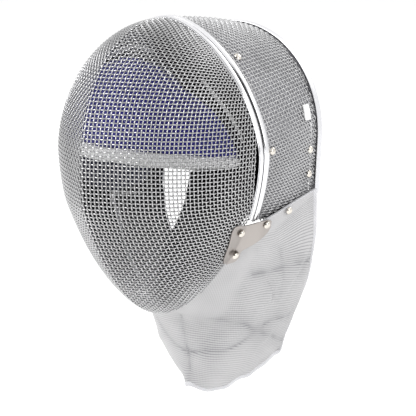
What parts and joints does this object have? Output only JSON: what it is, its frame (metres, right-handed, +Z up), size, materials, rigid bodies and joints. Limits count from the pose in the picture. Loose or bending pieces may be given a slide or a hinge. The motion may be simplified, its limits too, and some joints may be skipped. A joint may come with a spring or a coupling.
{
  "type": "fencing mask with bib",
  "caption": "Sabre-style fencing mask: woven wire face basket and crown joined by a chromed ear-to-ear band, with a conductive cloth bib.",
  "frame": {"origin": "the crown seat: on the middle plane, in the plane of the ear-to-ear band, 15 mm below the top of the face basket's rim", "axes": "+Z up, along the worn mask's height; the face looks along -Y; +X is the wearer's left"},
  "size_m": [0.1948, 0.1971, 0.3357],
  "materials": {
    "face_mesh": "bright woven wire, 1.2 mm wire at 3.3 mm pitch, drawn in full in the visual",
    "crown_mesh": "the same woven wire, laid on the bias",
    "band": "polished, with two raised ribs and a groove between them",
    "trim": "satin light grey channel",
    "bib_cloth": "silver-grey conductive cloth with fine level ribs and soft creases",
    "dark_lining": "plain dark lining",
    "pale_lining": "light grey-lavender outside, dark inside",
    "blue_pad": "royal blue brushed cloth over foam",
    "pale_binding": "light grey woven binding",
    "navy_pad": "dark navy brushed cloth over foam",
    "plate": "warm satin steel",
    "rivet": "domed, warm nickel",
    "tag": "small, white and bare"
  },
  "bodies": {
    "root": {"front_mesh_left": "face_mesh", "front_mesh_right": "face_mesh", "rear_mesh": "crown_mesh", "side_band": "band", "rear_trim": "trim", "bib": "bib_cloth", "bib_lining": "dark_lining", "crown_lining": "pale_lining", "forehead_pad": "blue_pad", "forehead_binding": "pale_binding", "forehead_piping": "pale_binding", "ear_pad_left": "navy_pad", "ear_pad_right": "navy_pad", "side_plate_left": "plate", "side_plate_right": "plate", "rivet_crown_left": "rivet", "rivet_crown_right": "rivet", "rivet_temple_left": "rivet", "rivet_temple_right": "rivet", "rivet_rear_upper_left": "rivet", "rivet_rear_upper_right": "rivet", "rivet_rear_lower_left": "rivet", "rivet_rear_lower_right": "rivet", "rivet_bib_left": "rivet", "rivet_bib_right": "rivet", "rivet_plate_rear_left": "rivet", "rivet_plate_rear_right": "rivet", "rivet_plate_middle_left": "rivet", "rivet_plate_middle_right": "rivet", "rivet_plate_jaw_left": "rivet", "rivet_plate_jaw_right": "rivet", "blank_tag": "tag"}
  },
  "joints": []
}
